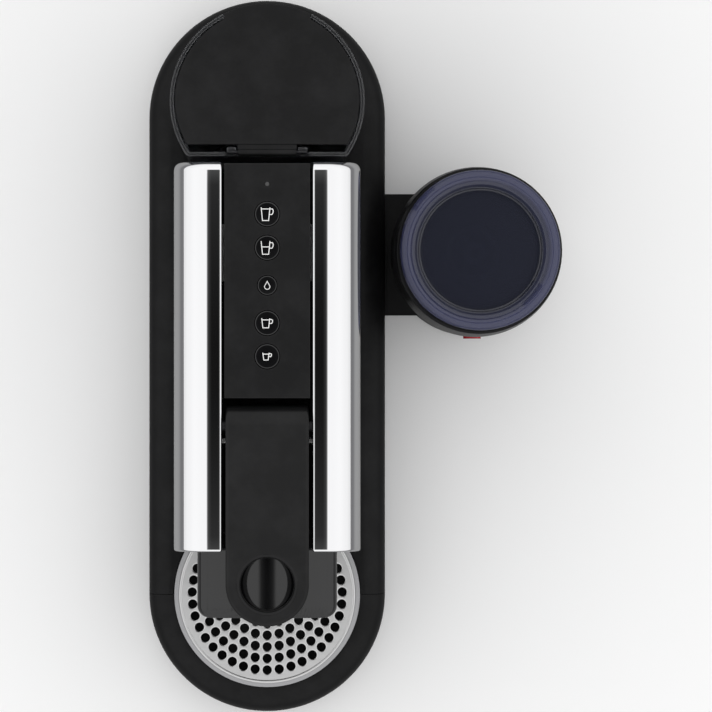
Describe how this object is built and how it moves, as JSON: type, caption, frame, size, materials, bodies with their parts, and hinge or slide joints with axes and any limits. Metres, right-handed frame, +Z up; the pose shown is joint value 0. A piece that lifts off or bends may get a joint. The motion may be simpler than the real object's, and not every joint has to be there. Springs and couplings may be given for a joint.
{
  "type": "pod coffee machine",
  "caption": "Slim pod coffee machine with a lever, polished side panels, rear water tank, drip drawer and a milk frother on an arm at its right side.",
  "frame": {"origin": "bottom centre of the whole object's box, on the surface that the feet stand on", "axes": "+Z up, the drip drawer faces -Y, the water tank is at +Y, the frother is at +X"},
  "size_m": [0.2124, 0.372, 0.278],
  "materials": {
    "shell_black": "fine satin moulding",
    "lever_black": "smooth satin moulding",
    "strip_black": "smooth, half gloss, with pale printed drink icons on the buttons",
    "gloss_black": "high gloss",
    "inner_black": "plain moulded, not seen from outside",
    "polished_chrome": "mirror polished plate",
    "smoked_tank": "smoked clear plastic",
    "lid_black": "satin moulding",
    "smoked_lid": "smoky blue clear plastic",
    "jug_black": "glossy lacquer",
    "pot_coating": "dark non-stick coating",
    "steel": "fine brushed or drawn steel",
    "blackened_steel": "black oxide steel",
    "ring_grey": "satin silver lacquer",
    "rubber_black": "soft black rubber",
    "button_red": "lit red button",
    "lamp_white": "clear light guide",
    "board_green": "circuit board",
    "hose_milky": "milky silicone",
    "nylon_ivory": "plain nylon",
    "cast_aluminium": "as cast"
  },
  "bodies": {
    "machine": {"base_plate": "inner_black", "feet": "rubber_black", "plinth": "shell_black", "plate_screws": "steel", "cord_gland": "inner_black", "chassis": "inner_black", "left_side_panel": "polished_chrome", "right_side_panel": "polished_chrome", "column_front_cover": "gloss_black", "column_rear_cover": "inner_black", "head_floor": "gloss_black", "nose_cover": "gloss_black", "coffee_spout": "gloss_black", "control_strip": "strip_black", "status_light": "lamp_white", "control_board": "board_green", "brew_frame": "inner_black", "extraction_plate": "steel", "coffee_duct": "nylon_ivory", "tank_socket": "inner_black", "socket_seal": "rubber_black", "flow_meter_body": "nylon_ivory", "suction_hoses": "hose_milky", "pump_body": "inner_black", "pump_mounts": "rubber_black", "pressure_hose": "hose_milky", "heater_block": "cast_aluminium", "brew_hose": "hose_milky", "power_board": "board_green", "frother_stand": "shell_black"},
    "mug_full_key": {"button_mug_full": "gloss_black"},
    "mug_half_key": {"button_mug_half": "gloss_black"},
    "hot_water_key": {"button_hot_water": "gloss_black"},
    "cup_medium_key": {"button_cup_medium": "gloss_black"},
    "cup_small_key": {"button_cup_small": "gloss_black"},
    "lever_unit": {"lever": "lever_black", "lever_shaft": "blackened_steel", "cam_plates": "blackened_steel"},
    "cage_unit": {"capsule_cage": "inner_black", "cage_cross_pin": "steel"},
    "tank": {"water_tank": "smoked_tank", "lid_hinge_pin": "blackened_steel", "valve_spring": "steel"},
    "tank_cover": {"tank_lid": "lid_black"},
    "valve_plug": {"tank_valve": "nylon_ivory"},
    "meter_wheel": {"flow_meter_rotor": "nylon_ivory"},
    "piston": {"pump_piston": "steel"},
    "drawer": {"drawer_front": "shell_black", "drip_tray": "inner_black", "tray_ring": "ring_grey"},
    "grid": {"cup_grid": "steel"},
    "capsule_container": {"capsule_bin": "gloss_black"},
    "jug": {"frother_body": "jug_black", "frother_floor": "inner_black", "milk_pot": "pot_coating", "frother_motor": "inner_black"},
    "magnets": {"magnet_rotor": "inner_black"},
    "whisk": {"frother_whisk": "steel"},
    "jug_key": {"frother_button": "button_red"},
    "jug_cover": {"frother_lid": "smoked_lid"}
  },
  "joints": [
    {"name": "mug_full_press", "type": "slide", "parent": "machine", "child": "mug_full_key", "axis": [0, 0, -1], "range_m": [0, 0.0008], "stiffness_N_per_m": 400},
    {"name": "mug_half_press", "type": "slide", "parent": "machine", "child": "mug_half_key", "axis": [0, 0, -1], "range_m": [0, 0.0008], "stiffness_N_per_m": 400},
    {"name": "hot_water_press", "type": "slide", "parent": "machine", "child": "hot_water_key", "axis": [0, 0, -1], "range_m": [0, 0.0008], "stiffness_N_per_m": 400},
    {"name": "cup_medium_press", "type": "slide", "parent": "machine", "child": "cup_medium_key", "axis": [0, 0, -1], "range_m": [0, 0.0008], "stiffness_N_per_m": 400},
    {"name": "cup_small_press", "type": "slide", "parent": "machine", "child": "cup_small_key", "axis": [0, 0, -1], "range_m": [0, 0.0008], "stiffness_N_per_m": 400},
    {"name": "lever_swing", "type": "hinge", "parent": "machine", "child": "lever_unit", "pos_m": [-0.0445, -0.034, 0.268], "axis": [-1, 0, 0], "range_deg": [0, 60]},
    {"name": "cage_slide", "type": "slide", "parent": "machine", "child": "cage_unit", "axis": [0, 1, 0], "range_m": [0, 0.0281]},
    {"name": "tank_lift", "type": "slide", "parent": "machine", "child": "tank", "axis": [0, 0, 1], "range_m": [0, 0.06]},
    {"name": "tank_lid_hinge", "type": "hinge", "parent": "tank", "child": "tank_cover", "pos_m": [-0.0445, 0.0995, 0.2696], "axis": [1, 0, 0], "range_deg": [0, 90]},
    {"name": "valve_lift", "type": "slide", "parent": "tank", "child": "valve_plug", "axis": [0, 0, 1], "range_m": [0, 0.0025], "stiffness_N_per_m": 300, "deforming": ["valve_spring"]},
    {"name": "meter_spin", "type": "hinge", "parent": "machine", "child": "meter_wheel", "pos_m": [-0.0255, 0.053, 0.021], "axis": [0, 0, 1], "continuous": true},
    {"name": "pump_stroke", "type": "slide", "parent": "machine", "child": "piston", "axis": [0, 0, 1], "range_m": [-0.004, 0.004], "stiffness_N_per_m": 2000},
    {"name": "drawer_slide", "type": "slide", "parent": "machine", "child": "drawer", "axis": [0, -1, 0], "range_m": [0, 0.11]},
    {"name": "grid_lift", "type": "slide", "parent": "drawer", "child": "grid", "axis": [0, 0, 1], "range_m": [0, 0.06]},
    {"name": "container_lift", "type": "slide", "parent": "drawer", "child": "capsule_container", "axis": [0, 0, 1], "range_m": [0, 0.014]},
    {"name": "jug_lift", "type": "slide", "parent": "machine", "child": "jug", "axis": [0, 0, 1], "range_m": [0, 0.06]},
    {"name": "magnet_spin", "type": "hinge", "parent": "jug", "child": "magnets", "pos_m": [0.0627, 0.0533, 0.05], "axis": [0, 0, 1], "continuous": true},
    {"name": "whisk_spin", "type": "hinge", "parent": "jug", "child": "whisk", "pos_m": [0.0627, 0.0533, 0.07], "axis": [0, 0, 1], "continuous": true},
    {"name": "jug_button_press", "type": "slide", "parent": "jug", "child": "jug_key", "axis": [0, 1, 0], "range_m": [0, 0.001], "stiffness_N_per_m": 500},
    {"name": "jug_lid_lift", "type": "slide", "parent": "jug", "child": "jug_cover", "axis": [0, 0, 1], "range_m": [0, 0.05]}
  ],
  "couplings": [
    {"joint": "cage_slide", "follows": "lever_swing", "m_per_rad": 0.026738},
    {"joint": "whisk_spin", "follows": "magnet_spin", "ratio": 1}
  ]
}
